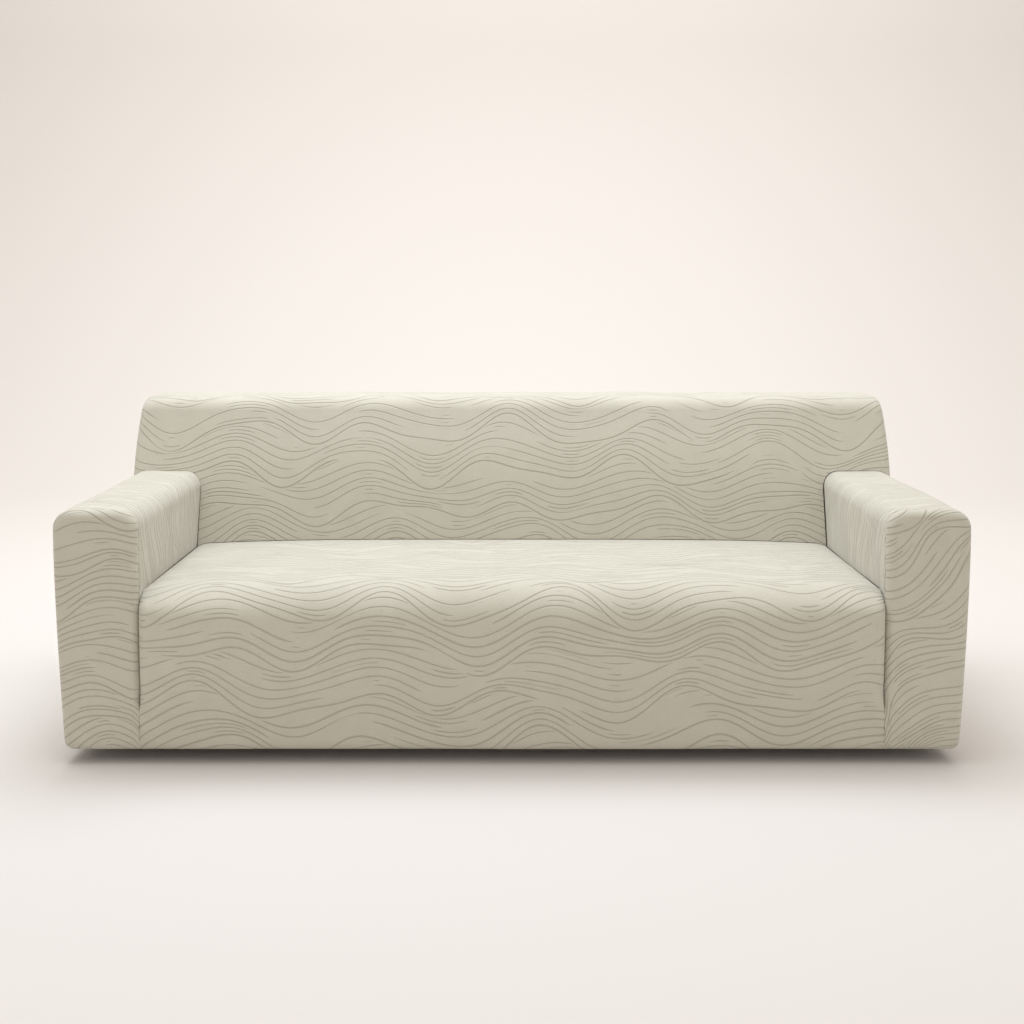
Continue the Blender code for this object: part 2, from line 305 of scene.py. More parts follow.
seat_points, seat_cloth = seat_surface()
seat_size = np.ptp(seat_cloth, axis=(0, 1))
print("seat grid", seat_points.shape[:2], "of", [round(float(size), 2) for size in seat_size], "m")

# %% [markdown]
# ## The arms
#
# An arm has a box form with soft corners. Its front panel is turned over the rounded edge and sewn to
# one long cloth that goes up the inside, over the top and down the outside. Both use the same
# outline, seen from the front.

# %% Outline of an arm


def arm_outline(inset, foot, shares):
    """Up the inside from foot, over two quarter rounds and down the outside; inset shrinks the rounds."""
    past = max(inset - FRONT_ROUND, 0.0) / (ARM_WIDTH / 2 - FRONT_ROUND)
    corner = ARM_ROUND - min(inset, FRONT_ROUND) - past * (ARM_ROUND - FRONT_ROUND)
    straight = ARM_TOP - inset - corner
    inner_x, outer_x = ARM_IN_X + inset, SIDE_X - inset
    arc = np.radians(np.linspace(0, 90, 12))
    across = np.linspace(0, 1, 14)[1:-1]
    left, right = inner_x + corner, outer_x - corner
    x = np.concatenate([np.full(len(shares), inner_x), inner_x + corner * (1 - np.cos(arc)),
                        left + across * (right - left), outer_x - corner * (1 - np.sin(arc)),
                        np.full(len(shares), outer_x)])
    z = np.concatenate([foot + (straight - foot) * shares, straight + corner * np.sin(arc),
                        np.full(len(across), straight + corner), straight + corner * np.cos(arc),
                        straight * shares[::-1]])
    return x, z


def seat_side_height(y):
    """Height of the seat's side edge at depth y, where the arm's inside goes down behind the cushion."""
    edge_y, edge_z = seat_profile(STATIONS, EDGE_TOP, EDGE_RISE, EDGE_ROLL, crease_depth)
    shown = edge_z > SEAT_TOP / 2
    return np.interp(y, edge_y[shown][::-1], edge_z[shown][::-1]) - ROLL_DOWN


def end_inset(x):
    """How far the backrest's end has turned in at distance x: a quarter round of END_ROUND."""
    past = np.clip(np.abs(x) - (SIDE_X - END_ROUND), 0, END_ROUND)
    return END_ROUND - np.sqrt(END_ROUND ** 2 - past ** 2)


def open_crease(x, z):
    """1 where a point's seam is open, easing to 0 low on the inner edge, where seat and arm join flat."""
    return np.where(np.abs(x) < ARM_IN_X + ARM_WIDTH / 2, crease_depth(z) / WRAP_Y, 1.0)


ARM_STEP = 0.008
ARM_SHARES = shares_of(SHOULDER_Z, ARM_STEP, fine_end=False)[:-1]
outline_x, outline_z = arm_outline(0.0, 0.0, ARM_SHARES)
print("once round an arm:", round(float(length_along(outline_x, outline_z)[-1]), 2), "m of cloth")

# %% [markdown]
# The long cloth is that outline carried back along y until it meets the leaning backrest. The front
# panel is a set of rings, each the outline set in a little further. The first rings go round the
# edge, the last meet at the middle.

# %% Surfaces of an arm
ARM_RUN = 0.6


def arm_surface():
    """Outline carried along y from the front seam; each line ends where the backrest begins."""
    side_seam = face_y(SHOULDER_Z) + END_ROUND * LEAN
    start = WRAP_Y + SEAM_GAP
    points, cloth = [], []
    for run in shares_of(ARM_RUN, ARM_STEP):
        x, z = arm_outline(0.0, seat_side_height(start + run * (BACK_FOOT_Y - start)), ARM_SHARES)
        outside = (x > SIDE_X - SEAM_GAP) & (z < SHOULDER_Z - SEAM_GAP)
        end = np.where(outside, side_seam, face_y(z) + end_inset(x) * LEAN) - SEAM_GAP
        y = start + run * (end - start)
        points.append(np.stack([x, y, z], axis=-1))
        cloth.append(np.stack([length_along(x[::-1], z[::-1])[::-1], y], axis=-1))
    return np.stack(points), np.stack(cloth)


def arm_front_surface():
    """Rings of the outline: along the seam strip, round the edge by FRONT_ROUND, then flat to the middle."""
    strip = np.append(SEAM_LINES[SEAM_LINES < SEAM_STRIP], SEAM_STRIP)
    turn = np.radians(np.linspace(0, 90, 10))[1:]
    face = FRONT_ROUND + spaced(ARM_WIDTH / 2 - FRONT_ROUND, ARM_STEP, False, False)[1:]
    insets = np.concatenate([0 * strip, FRONT_ROUND * (1 - np.cos(turn)), face])
    depths = np.concatenate([WRAP_Y - strip, FRONT_ROUND * (1 - np.sin(turn)), 0 * face])
    extra = FRONT_ROUND * (np.pi / 2 - 1)
    turned = np.concatenate([strip - SEAM_STRIP, FRONT_ROUND * turn, extra + face])
    edge_cloth = SEAM_STRIP + FRONT_ROUND * np.pi / 2
    shut_insets = np.minimum((turned + SEAM_STRIP) / edge_cloth, 1.0) * FRONT_ROUND
    points, cloth = [], []
    for inset, shut_inset, depth, wrap in zip(insets, shut_insets, depths, turned - extra):
        x, z = arm_outline(inset, 0.0, ARM_SHARES)
        open_share = open_crease(x, z)
        flat = (1 - open_share) * (max(shut_inset, inset) - inset)
        points.append(np.stack([x + flat, depth * open_share, z], axis=-1))
        flat_x, flat_z = arm_outline(min(wrap, inset), 0.0, ARM_SHARES)
        cloth.append(np.stack([flat_x, flat_z], axis=-1))
    return np.stack(points[::-1]), np.stack(cloth[::-1])


arm_points, arm_cloth = arm_surface()
arm_front_points, arm_front_cloth = arm_front_surface()
print("arm grid", arm_points.shape[:2], "arm front grid", arm_front_points.shape[:2])

# %% [markdown]
# ## The backrest
#
# The inside cloth covers the leaning face, rolls over the top and turns round both ends. Between the
# arms it goes down to the seat, and outside them it stops on the rounded top of the arm, so its grid
# has a notch on each side.

# %% Inside of the backrest
FRONT_ARC, TOP_FLAT, REAR_ARC = 16, 12, 9
LOWER_RUN, UPPER_RUN, BACK_STEP = 0.17, 0.20, 0.009


def back_rolls(inset):
    """Over the top: front roll, flat, rear roll and strip, every radius less inset; depth and height."""
    front_arc = np.linspace(np.pi - np.arctan(RECLINE), np.pi / 2, FRONT_ARC)
    rear_arc = np.radians(np.linspace(90, 0, REAR_ARC))
    front_round, rear_round = TOP_ROLL - inset, REAR_ROLL - inset
    front_z, rear_y, rear_z = HEIGHT - TOP_ROLL, REAR_Y - REAR_ROLL, HEIGHT - REAR_ROLL
    flat_y = np.linspace(ROLL_CENTRE_Y, rear_y, TOP_FLAT + 2)[1:-1]
    strip_z = rear_z - spaced(rear_z - REAR_SEAM_Z, 0.005, fine_start=False)[1:]
    y = np.concatenate([ROLL_CENTRE_Y + front_round * np.cos(front_arc), flat_y,
                        rear_y + rear_round * np.cos(rear_arc), np.full(len(strip_z), REAR_Y - inset)])
    z = np.concatenate([front_z + front_round * np.sin(front_arc), 0 * flat_y + HEIGHT - inset,
                        rear_z + rear_round * np.sin(rear_arc), strip_z])
    return y, z


def over_arm(x):
    """Height of the arm's rounded top at distance x from the middle."""
    past = np.abs(np.abs(x) - (ARM_IN_X + SIDE_X) / 2) - (ARM_WIDTH / 2 - ARM_ROUND)
    return SHOULDER_Z + np.sqrt(ARM_ROUND ** 2 - np.clip(past, 0, ARM_ROUND) ** 2)


def end_columns():
    """Places, insets and lengths of cloth of the columns round the backrest's end and its seam strip."""
    turn = np.radians(np.linspace(0, 90, 10))
    strip = SEAM_STRIP - SEAM_LINES[-2::-1]
    x = np.concatenate([SIDE_X - END_ROUND + END_ROUND * np.sin(turn), np.full(len(strip), SIDE_X)])
    inset = np.concatenate([END_ROUND * (1 - np.cos(turn)), END_ROUND + strip])
    return x, inset, SIDE_X - END_ROUND + np.concatenate([END_ROUND * turn, END_ROUND * np.pi / 2 + strip])


def back_inside_surface():
    """Columns of face and top roll; face rows run from the seat, or from the arm's top, up to the roll."""
    turn_x, turn_inset, turn_cloth = end_columns()
    over_round = ARM_IN_X + ARM_ROUND * (1 - np.cos(np.radians(np.linspace(9, 90, 10))))
    over_flat = np.linspace(ARM_IN_X + ARM_ROUND, SIDE_X - END_ROUND, 18)[1:-1]
    inner = np.concatenate([seat_columns()[0], over_round, over_flat])
    x = mirrored(np.concatenate([inner, turn_x]))
    inset = np.concatenate([turn_inset[::-1], np.zeros(2 * len(inner) - 1), turn_inset])
    lower = shares_of(LOWER_RUN, BACK_STEP, fine_end=False)
    upper = shares_of(UPPER_RUN, BACK_STEP)[1:-1]
    flat_length = length_along(*back_rolls(0.0))
    points, cloth = [], []
    for across, deep, cloth_x in zip(x, inset, mirrored(np.concatenate([inner, turn_cloth]))):
        roll_y, roll_z = back_rolls(deep)
        foot = seat_height(min(abs(across), SEAT_HALF)) + SEAM_GAP
        shoulder = over_arm(max(abs(across), ARM_IN_X)) + SEAM_GAP
        upper_z = shoulder + (roll_z[0] - shoulder) * upper
        face_z = np.concatenate([foot + (shoulder - foot) * lower, upper_z])
        y = np.concatenate([face_y(face_z) + deep * LEAN, roll_y])
        points.append(np.stack([np.full(len(y), across), y, np.concatenate([face_z, roll_z])], axis=-1))
        up = np.concatenate([face_z * LEAN, back_rolls(0.0)[1][0] * LEAN + flat_length])
        cloth.append(np.stack([np.full(len(up), cloth_x), up], axis=-1))
    between_arms = np.minimum(np.abs(x[:-1]), np.abs(x[1:])) < SEAT_HALF - SEAM_GAP
    is_cloth = np.ones((len(points[0]) - 1, len(x) - 1), dtype=bool)
    is_cloth[:len(lower) - 1] = between_arms
    return np.stack(points, axis=1), np.stack(cloth, axis=1), is_cloth


back_points, back_cloth, back_is_cloth = back_inside_surface()
print("backrest grid", back_points.shape[:2], "with", int(back_is_cloth.sum()), "faces of cloth")

# %% [markdown]
# The rear panel is flat and upright, and turns round both rear corners to meet the flat end panels.
# The end panels are a loft between their front seam, which follows the lean, and their straight rear
# seam.

# %% Rear panel and end panels
REAR_STEP, END_RUN, SQUEEZE = 0.011, 0.22, 0.995


def back_outside_surface():
    """A flat sheet at REAR_Y whose sides turn round a quarter of END_ROUND."""
    turn_x, turn_inset, turn_cloth = end_columns()
    flat = np.linspace(0, SIDE_X - END_ROUND, 90)[:-1]
    x = mirrored(np.concatenate([flat, turn_x]))
    depth = REAR_Y - np.concatenate([turn_inset[::-1], np.zeros(2 * len(flat) - 1), turn_inset])
    z = spaced(REAR_SEAM_Z - SEAM_GAP, REAR_STEP)[::-1]
    grid_x, grid_z = np.meshgrid(x, z)
    cloth_x = mirrored(np.concatenate([flat, turn_cloth]))
    return (np.stack([grid_x, np.broadcast_to(depth, grid_x.shape), grid_z], axis=-1),
            np.stack(np.meshgrid(-cloth_x, z), axis=-1))


def back_side_surface():
    """Rows from the front seam's depth to the rear seam's; the last rows close the rounded top."""
    seam = END_INSET + SEAM_GAP
    roll_y, roll_z = back_rolls(seam)
    low = spaced(SHOULDER_Z, BACK_STEP, fine_end=False)[:-1]
    lean = np.linspace(SHOULDER_Z, roll_z[0], 24)[:-1]
    low_y = face_y(SHOULDER_Z) + END_ROUND * LEAN + SEAM_GAP
    front_y = np.concatenate([np.full(len(low), low_y), face_y(lean) + seam * LEAN, roll_y[:FRONT_ARC]])
    front_z = np.concatenate([low, lean, roll_z[:FRONT_ARC]])
    rear_y, rear_z = [side[FRONT_ARC + TOP_FLAT:][:REAR_ARC][::-1] for side in (roll_y, roll_z)]
    straight = front_z[:-len(rear_z)]
    lowered = np.minimum(straight, straight * rear_z[0] / straight[-1] * SQUEEZE)
    rear_z = np.concatenate([lowered, rear_z])
    rear_y = np.concatenate([np.full(len(lowered), REAR_Y - seam), rear_y])
    share = shares_of(END_RUN, BACK_STEP)
    y = front_y[:, None] + share * (rear_y - front_y)[:, None]
    z = front_z[:, None] + share * (rear_z - front_z)[:, None]
    return np.stack([np.full(y.shape, SIDE_X), y, z], axis=-1), np.stack([y, z], axis=-1)


rear_points, rear_cloth = back_outside_surface()
side_points, side_cloth = back_side_surface()
print("rear grid", rear_points.shape[:2], "end panel grid", side_points.shape[:2])

# %% [markdown]
# ## The cloth
#
# The cloth is a stretch jacquard: a warm greige knit with fine taupe lines pressed into it, which run
# across in waves. Their dark taupe is partly the pattern's own tone and partly painted shade of the
# pressed grooves. Real jacquards of this kind stack one bed of near-parallel waves on the next. So
# the pattern is worked out as beds: each bed starts on a wavy edge, its lines follow that edge, and
# the next bed cuts them off. Nothing is drawn by hand, so the waves are a plain pattern of their own.
#
# The sums are Math nodes in node groups. These helpers add one Math node, make an empty group, and
# place a group in another tree. A value that they are given is either a number or the socket that
# feeds it.

# %% Helpers for nodes


def feed(tree, sockets, values):
    """Each value, a number or another node's socket, goes to the input at the same place."""
    for socket, value in zip(sockets, values):
        if isinstance(value, (int, float)):
            socket.default_value = value
        else:
            tree.links.new(value, socket)


def math_node(tree, operation, *values, clamp=False):
    """One Math node on the values; returns its output."""
    node = tree.nodes.new("ShaderNodeMath")
    node.operation = operation
    node.use_clamp = clamp
    feed(tree, node.inputs, values)
    return node.outputs[0]


def node_group(name, inputs, outputs):
    """An empty shader group; its sockets are floats, apart from the vector Cloth. Also returns its ends."""
    group = bpy.data.node_groups.new(name, "ShaderNodeTree")
    for labels, in_out in ((inputs, "INPUT"), (outputs, "OUTPUT")):
        for label in labels:
            kind = "NodeSocketVector" if label == "Cloth" else "NodeSocketFloat"
            group.interface.new_socket(name=label, in_out=in_out, socket_type=kind)
    return group, group.nodes.new("NodeGroupInput").outputs, group.nodes.new("NodeGroupOutput").inputs


def placed(tree, group, *values):
    """One use of a group on the values; returns its outputs."""
    node = tree.nodes.new("ShaderNodeGroup")
    node.node_tree = group
    feed(tree, node.inputs, values)
    return list(node.outputs)


def across_and_up(tree, cloth):
    """The two measures of a place on the cloth."""
    parts = tree.nodes.new("ShaderNodeSeparateXYZ")
    tree.links.new(cloth, parts.inputs[0])
    return parts.outputs["X"], parts.outputs["Y"]


# %% [markdown]
# A bed's edge is a long wave, plus a shorter and a longer one that shift from bed to bed, so that the
# crests drift and no two beds are alike. The group also gives the edge's slope, because lines crowd
# where it is steep.

# %% Edge of a bed of waves
BED = 0.098
LONG_WAVE, LONG_SIZE, LONG_CHANGE = 0.335, 0.027, 0.0075
SLOW_WAVE, SLOW_SIZE, SLOW_SHIFT = 1.63 * LONG_WAVE, 0.011, (2.1, 0.7)
QUICK_WAVE, QUICK_SIZE, QUICK_SHIFT = 0.57 * LONG_WAVE, 0.0095, (3.3, 0.0)
FIRST_DRIFT, FIRST_RATE = 0.9, (1.73, 0.4)
SECOND_DRIFT, SECOND_RATE = 0.6, (0.67, 0.0)
SIZE_RATE = (2.3, 1.0)


def make_bed_edge():
    """Height = bed x BED + the sum of size x sin(2 pi u / length + shift); Slope = its derivative."""
    group, given, result = node_group("bed edge", ["Across", "Bed"], ["Height", "Slope"])
    across, bed = given["Across"], given["Bed"]

    def swing(rate):
        return math_node(group, "SINE", math_node(group, "MULTIPLY_ADD", bed, *rate))

    drift = math_node(group, "MULTIPLY", swing(FIRST_RATE), FIRST_DRIFT)
    drift = math_node(group, "MULTIPLY_ADD", swing(SECOND_RATE), SECOND_DRIFT, drift)
    long_size = math_node(group, "MULTIPLY_ADD", swing(SIZE_RATE), LONG_CHANGE, LONG_SIZE)
    slow_shift = math_node(group, "MULTIPLY_ADD", bed, *SLOW_SHIFT)
    quick_shift = math_node(group, "MULTIPLY_ADD", bed, *QUICK_SHIFT)
    height = math_node(group, "MULTIPLY", bed, BED)
    slope = 0.0
    for length, shift, size in ((LONG_WAVE, drift, long_size), (SLOW_WAVE, slow_shift, SLOW_SIZE),
                                (QUICK_WAVE, quick_shift, QUICK_SIZE)):
        turns = 2 * np.pi / length
        angle = math_node(group, "MULTIPLY_ADD", across, turns, shift)
        height = math_node(group, "MULTIPLY_ADD", math_node(group, "SINE", angle), size, height)
        steep = math_node(group, "MULTIPLY", math_node(group, "COSINE", angle), size)
        slope = math_node(group, "MULTIPLY_ADD", steep, turns, slope)
    group.links.new(height, result["Height"])
    group.links.new(slope, result["Slope"])
    return group


bed_edge = make_bed_edge()
print("bed edge:", len(bed_edge.nodes), "nodes")

# %% [markdown]
# A point of the cloth first finds its bed. The wave moves an edge up or down by less than a bed, so
# it is enough to guess the bed from the height alone and to compare with the edges above and below.

# %% The bed at a point


def make_bed_finder():
    """Bed = floor(up / BED), put right by the edges below and above; Above and Room count from its edge."""
    group, given, result = node_group("bed at a point", ["Across", "Up"],
                                      ["Bed", "Above", "Room", "Slope", "Next Slope"])
    across, up = given["Across"], given["Up"]
    guess = math_node(group, "FLOOR", math_node(group, "DIVIDE", up, BED))
    over_guess = math_node(group, "ADD", guess, 1.0)
    too_high = math_node(group, "LESS_THAN", up, placed(group, bed_edge, across, guess)[0])
    under_next = math_node(group, "LESS_THAN", up, placed(group, bed_edge, across, over_guess)[0])
    too_low = math_node(group, "SUBTRACT", 1.0, under_next)
    bed = math_node(group, "ADD", math_node(group, "SUBTRACT", guess, too_high), too_low)
    floor, slope = placed(group, bed_edge, across, bed)
    ceiling, next_slope = placed(group, bed_edge, across, math_node(group, "ADD", bed, 1.0))
    above = math_node(group, "SUBTRACT", up, floor)
    room = math_node(group, "SUBTRACT", ceiling, floor)
    for found, socket in zip((bed, above, room, slope, next_slope), result):
        group.links.new(found, socket)
    return group


bed_finder = make_bed_finder()
print("bed at a point:", len(bed_finder.nodes), "nodes")

# %% [markdown]
# No line runs right across the cloth. Each takes its gaps from its own row of a noise: it is there
# where the noise is above what the line needs, and it thins to a point where the noise falls below.

# %% Where a line is there
LINE_RUN, RUN_END = 0.22, 14.0


def make_line_run():
    """Shown = RUN_END x (noise in the row Seed, at across / LINE_RUN, less Need), held between 0 and 1."""
    group, given, result = node_group("line run", ["Across", "Seed", "Need"], ["Shown"])
    place = group.nodes.new("ShaderNodeCombineXYZ")
    feed(group, place.inputs, (math_node(group, "DIVIDE", given["Across"], LINE_RUN), given["Seed"]))
    noise = group.nodes.new("ShaderNodeTexNoise")
    noise.noise_dimensions = "2D"
    noise.inputs["Scale"].default_value = 1.0
    noise.inputs["Detail"].default_value = 0.0
    group.links.new(place.outputs[0], noise.inputs["Vector"])
    over = math_node(group, "SUBTRACT", noise.outputs[0], given["Need"])
    group.links.new(math_node(group, "MULTIPLY", over, RUN_END, clamp=True), result["Shown"])
    return group


line_run = make_line_run()
print("line run:", len(line_run.nodes), "nodes")

# %% [markdown]
# A line's width comes from its weight. One line in six is heavier, as on cloth where two pressed
# lines meet.

# %% One pressed line
LINE_WIDTH, LINE_SOFT, LINE_TAPER = 0.0021, 0.0013, 0.6
HEAVY_PICK, HEAVY_SHARE, HEAVY_EXTRA = 0.713, 0.16, 0.4
LEAST_SHOWN = 0.02


def pressed_line(tree, distance, seed, weight, shown):
    """1 within width / 2, easing to 0 over LINE_SOFT; width = LINE_WIDTH x weight x a power of shown."""
    picked = math_node(tree, "FRACT", math_node(tree, "MULTIPLY", seed, HEAVY_PICK))
    heavy = math_node(tree, "LESS_THAN", picked, HEAVY_SHARE)
    width = math_node(tree, "MULTIPLY_ADD", heavy, HEAVY_EXTRA, weight)
    width = math_node(tree, "MULTIPLY", width, LINE_WIDTH)
    width = math_node(tree, "MULTIPLY", width, math_node(tree, "POWER", shown, LINE_TAPER))
    inside = math_node(tree, "SUBTRACT", math_node(tree, "MULTIPLY", width, 0.5), distance)
    mask = math_node(tree, "MULTIPLY_ADD", inside, 1 / LINE_SOFT, 0.5, clamp=True)
    return math_node(tree, "MULTIPLY", mask, math_node(tree, "GREATER_THAN", shown, LEAST_SHOWN))


# %% [markdown]
# In a bed the lines are numbered up from its edge, a pitch apart, and the pitch opens with the bed.
# Even lines are long. Odd ones fill in only where the cloth lies open, at crests and troughs. The
# edge itself is line 0, and the next bed's edge is drawn as well, because half of it lies in this
# bed. Between the lines the cloth stands up a little, which gives the relief.

# %% Waves pressed into the cloth
PITCH, FOLLOW = 0.0180, 0.60
EDGE_NEED, LONG_NEED, SHORT_NEED, STEEP_NEED = 0.19, 0.33, 0.52, 0.60
EDGE_EXTRA, SHORT_LESS = 0.3, 0.2
BED_SEED, LINE_SEED = 13.7, 3.17
TOP_ROOM, TOP_START = 0.0085, -0.55
PAD_REACH, PAD_SHARE = 0.0075, 0.35


def make_waves():
    """Line = mask of the nearest line or of the next edge; Relief = PAD_SHARE x pad between lines - Line."""
    group, given, result = node_group("pressed waves", ["Cloth"], ["Line", "Relief"])

    def sums(operation, *values, **options):
        return math_node(group, operation, *values, **options)

    across, up = across_and_up(group, given["Cloth"])
    bed, above, room, low_slope, high_slope = placed(group, bed_finder, across, up)
    step = sums("MULTIPLY_ADD", room, PITCH * FOLLOW / BED / 2, PITCH * (1 - FOLLOW) / 2)
    number = sums("ROUND", sums("DIVIDE", above, step))
    line_height = sums("MULTIPLY", number, step)
    share = sums("MULTIPLY", sums("DIVIDE", above, room), FOLLOW)
    slope = sums("MULTIPLY_ADD", sums("SUBTRACT", high_slope, low_slope), share, low_slope)
    upright = sums("INVERSE_SQRT", sums("MULTIPLY_ADD", slope, slope, 1.0))
    distance = sums("MULTIPLY", sums("ABSOLUTE", sums("SUBTRACT", above, line_height)), upright)
    next_distance = sums("MULTIPLY", sums("SUBTRACT", room, above), upright)

    odd = sums("PINGPONG", number, 1.0)
    is_edge = sums("LESS_THAN", number, 0.5)
    need = sums("MULTIPLY_ADD", odd, SHORT_NEED - LONG_NEED, LONG_NEED)
    need = sums("MULTIPLY_ADD", sums("MULTIPLY", odd, sums("ABSOLUTE", slope)), STEEP_NEED, need)
    need = sums("MULTIPLY_ADD", is_edge, EDGE_NEED - LONG_NEED, need)
    seed = sums("MULTIPLY_ADD", bed, BED_SEED, sums("MULTIPLY", number, LINE_SEED))
    fits = sums("MULTIPLY_ADD", sums("SUBTRACT", room, line_height), 1 / TOP_ROOM, TOP_START, clamp=True)
    shown = sums("MULTIPLY", placed(group, line_run, across, seed, need)[0], fits)
    weight = sums("MULTIPLY_ADD", is_edge, EDGE_EXTRA, sums("MULTIPLY_ADD", odd, -SHORT_LESS, 1.0))
    mask = pressed_line(group, distance, seed, weight, shown)

    next_seed = sums("MULTIPLY", sums("ADD", bed, 1.0), BED_SEED)
    next_shown = placed(group, line_run, across, next_seed, EDGE_NEED)[0]
    next_mask = pressed_line(group, next_distance, next_seed, 1.0 + EDGE_EXTRA, next_shown)
    mask = sums("MAXIMUM", mask, next_mask)
    pad = sums("MULTIPLY", sums("MINIMUM", distance, next_distance), 1 / PAD_REACH, clamp=True)
    relief = sums("SUBTRACT", sums("MULTIPLY", sums("MULTIPLY", pad, shown), PAD_SHARE), mask)
    group.links.new(mask, result["Line"])
    group.links.new(relief, result["Relief"])
    return group


waves = make_waves()
print("pressed waves:", len(waves.nodes), "nodes")

# %% [markdown]
# Under the lines lies the knit itself: rows of small loops, a little uneven, with a soft mottle from
# the yarn.

# %% Knit and yarn
LOOP_WIDTH, LOOP_HEIGHT = 0.0019, 0.0014
YARN_SCALE, MOTTLE_SCALE, MOTTLE_SHARE = 560.0, 26.0, 0.12


def make_knit():
    """Relief = half of sin(across) x sin(up), one turn a loop, plus a yarn noise; Shade is a fine mottle."""
    group, given, result = node_group("knit", ["Cloth"], ["Relief", "Shade"])
    across, up = across_and_up(group, given["Cloth"])
    columns = math_node(group, "SINE", math_node(group, "MULTIPLY", across, 2 * np.pi / LOOP_WIDTH))
    rows = math_node(group, "SINE", math_node(group, "MULTIPLY", up, 2 * np.pi / LOOP_HEIGHT))
    noises = []
    for scale, detail in ((YARN_SCALE, 2.0), (MOTTLE_SCALE, 3.0)):
        noise = group.nodes.new("ShaderNodeTexNoise")
        noise.inputs["Scale"].default_value = scale
        noise.inputs["Detail"].default_value = detail
        group.links.new(given["Cloth"], noise.inputs["Vector"])
        noises.append(noise.outputs[0])
    yarn, mottle = noises
    loops = math_node(group, "MULTIPLY", math_node(group, "MULTIPLY", columns, rows), 0.5)
    relief = math_node(group, "ADD", loops, yarn)
    shade = math_node(group, "MULTIPLY", mottle, MOTTLE_SHARE)
    shade = math_node(group, "MULTIPLY_ADD", yarn, 1 - MOTTLE_SHARE, shade)
    group.links.new(relief, result["Relief"])
    group.links.new(shade, result["Shade"])
    return group


knit = make_knit()
print("knit:", len(knit.nodes), "nodes")

# %% [markdown]
# One material serves all the pieces, as one bolt of cloth does. Constant values are set on the
# shader's own sockets, and only what changes over the surface comes from the groups.

# %% The cloth's material
GREIGE = (0.605, 0.570, 0.480, 1.0)
GREIGE_DARK = (0.445, 0.418, 0.345, 1.0)
# The lines' colour: partly the jacquard's own taupe, partly painted shade of the pressed grooves.
LINE_TAUPE_AND_GROOVE_SHADE = (0.335, 0.298, 0.226, 1.0)
LINE_SHARE, SHADE_CONTRAST = 0.58, 3.0
PRESSED_DEPTH, LOOP_DEPTH = 0.0011, 0.00012


def mixed(tree, share, first, second):
    """Colour = first + share x (second - first); each colour is a constant or a socket."""
    node = tree.nodes.new("ShaderNodeMix")
    node.data_type = "RGBA"
    tree.links.new(share, node.inputs[0])
    for socket, colour in ((node.inputs[6], first), (node.inputs[7], second)):
        if isinstance(colour, tuple):
            socket.default_value = colour
        else:
            tree.links.new(colour, socket)
    return node.outputs[2]


def bumped(tree, height, depth, normal=None):
    """The normal turned by a relief of the given depth, on top of another normal if there is one."""
    node = tree.nodes.new("ShaderNodeBump")
    node.inputs["Distance"].default_value = depth
    tree.links.new(height, node.inputs["Height"])
    if normal is not None:
        tree.links.new(normal, node.inputs["Normal"])
    return node.outputs[0]


def make_cloth():
    """Knit colour by shade; lines taupe, partly painted groove shade; both reliefs through Bump nodes."""
    material = bpy.data.materials.new("stretch_jacquard")
    material.use_nodes = True
    tree = material.node_tree
    shader = tree.nodes["Principled BSDF"]
    shader.inputs["Roughness"].default_value = 0.88
    shader.inputs["Specular IOR Level"].default_value = 0.25
    shader.inputs["Sheen Weight"].default_value = 0.25
    shader.inputs["Sheen Roughness"].default_value = 0.5
    place = tree.nodes.new("ShaderNodeUVMap")
    place.uv_map = "cloth"
    line, pressed_relief = placed(tree, waves, place.outputs[0])
    knit_relief, shade = placed(tree, knit, place.outputs[0])
    shade = math_node(tree, "MULTIPLY_ADD", shade, SHADE_CONTRAST, 0.5 - 0.5 * SHADE_CONTRAST, clamp=True)
    ground = mixed(tree, shade, GREIGE_DARK, GREIGE)
    # Lines mixed towards taupe: partly the pattern's own tone, partly painted shade in the grooves.
    colour = mixed(tree, math_node(tree, "MULTIPLY", line, LINE_SHARE), ground, LINE_TAUPE_AND_GROOVE_SHADE)
    tree.links.new(colour, shader.inputs["Base Color"])
    normal = bumped(tree, pressed_relief, PRESSED_DEPTH, bumped(tree, knit_relief, LOOP_DEPTH))
    tree.links.new(normal, shader.inputs["Normal"])
    return material


cloth_material = make_cloth()
print("material:", cloth_material.name)

# %% [markdown]
# ## Sewing the pieces
#
# A piece is its grid, pulled in by the hem, given its seam dips and soft unevenness, and moved into
# the frame. Grid points that lie together, as in the middle of an arm's front, are merged before the
# cloth gets its thickness.

# %% From grid to mesh
MERGE_WITHIN = 0.0002


def quads(rows, columns, is_cloth):
    """Corner numbers of each face of the grid that is cloth, turning left as seen from outside."""
    first = np.arange((rows - 1) * columns).reshape(rows - 1, columns)[:, :-1]
    first = first.reshape(-1) if is_cloth is None else first[is_cloth]
    return np.stack([first, first + 1, first + columns + 1, first + columns], axis=1)


def cloth_mesh(name, points, place, corners):
    """Mesh of the points that have a face, moved into the frame; place is the map of the cut cloth."""
    used, corners = np.unique(corners, return_inverse=True)
    mesh = bpy.data.meshes.new(name)
    mesh.from_pydata(points[used] - ORIGIN, [], corners.reshape(-1, 4))
    layer = mesh.uv_layers.new(name="cloth")
    layer.uv.foreach_set("vector", place[used][corners.reshape(-1)].astype(np.float32).reshape(-1))
    joined = bmesh.new()
    joined.from_mesh(mesh)
    bmesh.ops.remove_doubles(joined, verts=joined.verts, dist=MERGE_WITHIN)
    joined.to_mesh(mesh)
    joined.free()
    mesh.shade_smooth()
    mesh.materials.append(cloth_material)
    return mesh


print("a grid of 3 x 4 points has", len(quads(3, 4, None)), "faces")

# %% [markdown]
# Solidify lays the cloth's thickness on the inner side. Each piece takes the place of one node of the
# imported model. Its map is the cloth as it was cut, before it was stretched over the foam.

# %% Sewing a piece
SEAT_STRETCH, BACK_STRETCH = 1.20, 1.16
pieces = []


